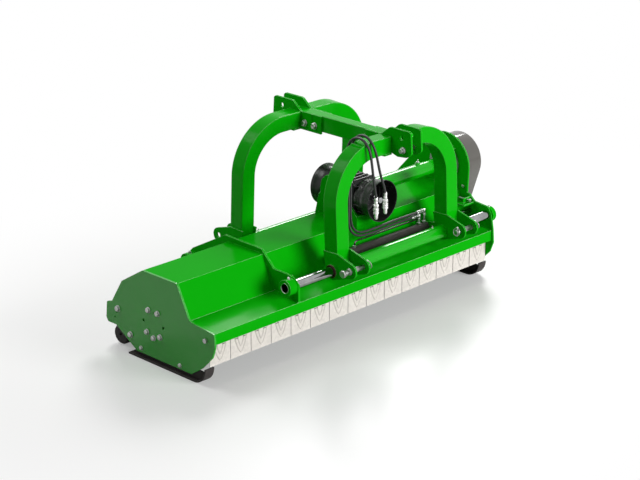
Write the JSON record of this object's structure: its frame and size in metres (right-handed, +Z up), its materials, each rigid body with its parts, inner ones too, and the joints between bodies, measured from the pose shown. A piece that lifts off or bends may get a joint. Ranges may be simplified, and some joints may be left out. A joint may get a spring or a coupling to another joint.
{
  "type": "flail mower",
  "caption": "Side-shifting tractor flail mower with hammer rotor, front flaps, twin hitch arches, side belt drive, skids and a rear roller.",
  "frame": {"origin": "middle of the bounding box at ground level, without the hoses", "axes": "+X along the rotor to the belt drive side, +Y to the roller side, +Z up"},
  "size_m": [2.3039, 1.1, 1.069],
  "materials": {
    "green_paint": "gloss paint",
    "grey_paint": "satin paint",
    "black_casting": "painted casting",
    "black_plastic": "moulded",
    "chrome": "polished",
    "zinc_steel": "zinc plated",
    "bare_steel": "machined",
    "forged_steel": "forged",
    "black_rubber": "matt",
    "galvanised": "galvanised sheet"
  },
  "bodies": {
    "deck": {"deck_shell": "green_paint", "end_plate_left": "green_paint", "end_plate_right": "green_paint", "bar_bracket": "green_paint", "bar_bosses": "green_paint", "slide_bars": "chrome", "skid_left": "grey_paint", "skid_right": "grey_paint", "deck_bolts": "zinc_steel", "flap_rod": "zinc_steel", "rear_curtain": "black_rubber", "rotor_bearings": "grey_paint", "drive_belts": "black_rubber", "belt_cover": "grey_paint", "belt_tensioner": "green_paint", "drive_tube": "green_paint", "shaft_bearing": "bare_steel", "shaft_shield": "green_paint", "gearbox_case": "black_casting", "gearbox_stand": "green_paint", "shaft_guards": "black_plastic", "roller_brackets": "grey_paint", "cylinder_rod": "chrome"},
    "headstock": {"arch_front": "green_paint", "arch_rear": "green_paint", "top_beam": "green_paint", "slide_sleeves": "green_paint", "hitch_lugs": "green_paint", "top_clevises": "green_paint", "hitch_pins": "zinc_steel", "headstock_bolts": "zinc_steel", "cylinder_barrel": "grey_paint", "cylinder_fittings": "zinc_steel", "hose_left": "black_rubber", "hose_right": "black_rubber", "quick_couplers": "zinc_steel"},
    "rotor": {"rotor": "bare_steel", "rotor_ears": "bare_steel", "rotor_pulley": "bare_steel", "hammer_pins": "zinc_steel"},
    "hammers_rear_side": {"hammer_row_1": "forged_steel"},
    "hammers_front_side": {"hammer_row_2": "forged_steel"},
    "cross_shaft": {"cross_shaft": "bare_steel"},
    "input_shaft": {"input_shaft": "bare_steel"},
    "rear_roller": {"rear_roller": "grey_paint"},
    "flap_1": {"front_flap_1": "galvanised"},
    "flap_2": {"front_flap_2": "galvanised"},
    "flap_3": {"front_flap_3": "galvanised"},
    "flap_4": {"front_flap_4": "galvanised"},
    "flap_5": {"front_flap_5": "galvanised"},
    "flap_6": {"front_flap_6": "galvanised"},
    "flap_7": {"front_flap_7": "galvanised"},
    "flap_8": {"front_flap_8": "galvanised"},
    "flap_9": {"front_flap_9": "galvanised"},
    "flap_10": {"front_flap_10": "galvanised"},
    "flap_11": {"front_flap_11": "galvanised"},
    "flap_12": {"front_flap_12": "galvanised"},
    "flap_13": {"front_flap_13": "galvanised"},
    "flap_14": {"front_flap_14": "galvanised"},
    "flap_15": {"front_flap_15": "galvanised"}
  },
  "joints": [
    {"name": "side_shift", "type": "slide", "parent": "deck", "child": "headstock", "axis": [1, 0, 0], "range_m": [-0.23, 0.23]},
    {"name": "rotor_spin", "type": "hinge", "parent": "deck", "child": "rotor", "pos_m": [-0.063, 0.029, 0.219], "axis": [1, 0, 0], "continuous": true},
    {"name": "rear_hammers_swing", "type": "hinge", "parent": "rotor", "child": "hammers_rear_side", "pos_m": [-0.063, 0.134, 0.219], "axis": [1, 0, 0], "range_deg": [0, 180]},
    {"name": "front_hammers_swing", "type": "hinge", "parent": "rotor", "child": "hammers_front_side", "pos_m": [-0.063, -0.076, 0.219], "axis": [-1, 0, 0], "range_deg": [0, 180]},
    {"name": "cross_shaft_spin", "type": "hinge", "parent": "deck", "child": "cross_shaft", "pos_m": [0.462, -0.062, 0.622], "axis": [1, 0, 0], "continuous": true},
    {"name": "input_spin", "type": "hinge", "parent": "deck", "child": "input_shaft", "pos_m": [0.242, -0.062, 0.622], "axis": [0, 1, 0], "continuous": true},
    {"name": "roller_spin", "type": "hinge", "parent": "deck", "child": "rear_roller", "pos_m": [-0.063, 0.347, 0.056], "axis": [1, 0, 0], "continuous": true},
    {"name": "flap_1_swing", "type": "hinge", "parent": "deck", "child": "flap_1", "pos_m": [-1.057, -0.373, 0.249], "axis": [1, 0, 0], "range_deg": [0, 60]},
    {"name": "flap_2_swing", "type": "hinge", "parent": "deck", "child": "flap_2", "pos_m": [-0.915, -0.373, 0.249], "axis": [1, 0, 0], "range_deg": [0, 60]},
    {"name": "flap_3_swing", "type": "hinge", "parent": "deck", "child": "flap_3", "pos_m": [-0.773, -0.373, 0.249], "axis": [1, 0, 0], "range_deg": [0, 60]},
    {"name": "flap_4_swing", "type": "hinge", "parent": "deck", "child": "flap_4", "pos_m": [-0.631, -0.373, 0.249], "axis": [1, 0, 0], "range_deg": [0, 60]},
    {"name": "flap_5_swing", "type": "hinge", "parent": "deck", "child": "flap_5", "pos_m": [-0.489, -0.373, 0.249], "axis": [1, 0, 0], "range_deg": [0, 60]},
    {"name": "flap_6_swing", "type": "hinge", "parent": "deck", "child": "flap_6", "pos_m": [-0.347, -0.373, 0.249], "axis": [1, 0, 0], "range_deg": [0, 60]},
    {"name": "flap_7_swing", "type": "hinge", "parent": "deck", "child": "flap_7", "pos_m": [-0.205, -0.373, 0.249], "axis": [1, 0, 0], "range_deg": [0, 60]},
    {"name": "flap_8_swing", "type": "hinge", "parent": "deck", "child": "flap_8", "pos_m": [-0.063, -0.373, 0.249], "axis": [1, 0, 0], "range_deg": [0, 60]},
    {"name": "flap_9_swing", "type": "hinge", "parent": "deck", "child": "flap_9", "pos_m": [0.079, -0.373, 0.249], "axis": [1, 0, 0], "range_deg": [0, 60]},
    {"name": "flap_10_swing", "type": "hinge", "parent": "deck", "child": "flap_10", "pos_m": [0.221, -0.373, 0.249], "axis": [1, 0, 0], "range_deg": [0, 60]},
    {"name": "flap_11_swing", "type": "hinge", "parent": "deck", "child": "flap_11", "pos_m": [0.363, -0.373, 0.249], "axis": [1, 0, 0], "range_deg": [0, 60]},
    {"name": "flap_12_swing", "type": "hinge", "parent": "deck", "child": "flap_12", "pos_m": [0.505, -0.373, 0.249], "axis": [1, 0, 0], "range_deg": [0, 60]},
    {"name": "flap_13_swing", "type": "hinge", "parent": "deck", "child": "flap_13", "pos_m": [0.647, -0.373, 0.249], "axis": [1, 0, 0], "range_deg": [0, 60]},
    {"name": "flap_14_swing", "type": "hinge", "parent": "deck", "child": "flap_14", "pos_m": [0.789, -0.373, 0.249], "axis": [1, 0, 0], "range_deg": [0, 60]},
    {"name": "flap_15_swing", "type": "hinge", "parent": "deck", "child": "flap_15", "pos_m": [0.931, -0.373, 0.249], "axis": [1, 0, 0], "range_deg": [0, 60]}
  ],
  "couplings": [
    {"joint": "cross_shaft_spin", "follows": "rotor_spin", "ratio": 0.72727},
    {"joint": "input_spin", "follows": "rotor_spin", "ratio": 0.24242}
  ]
}
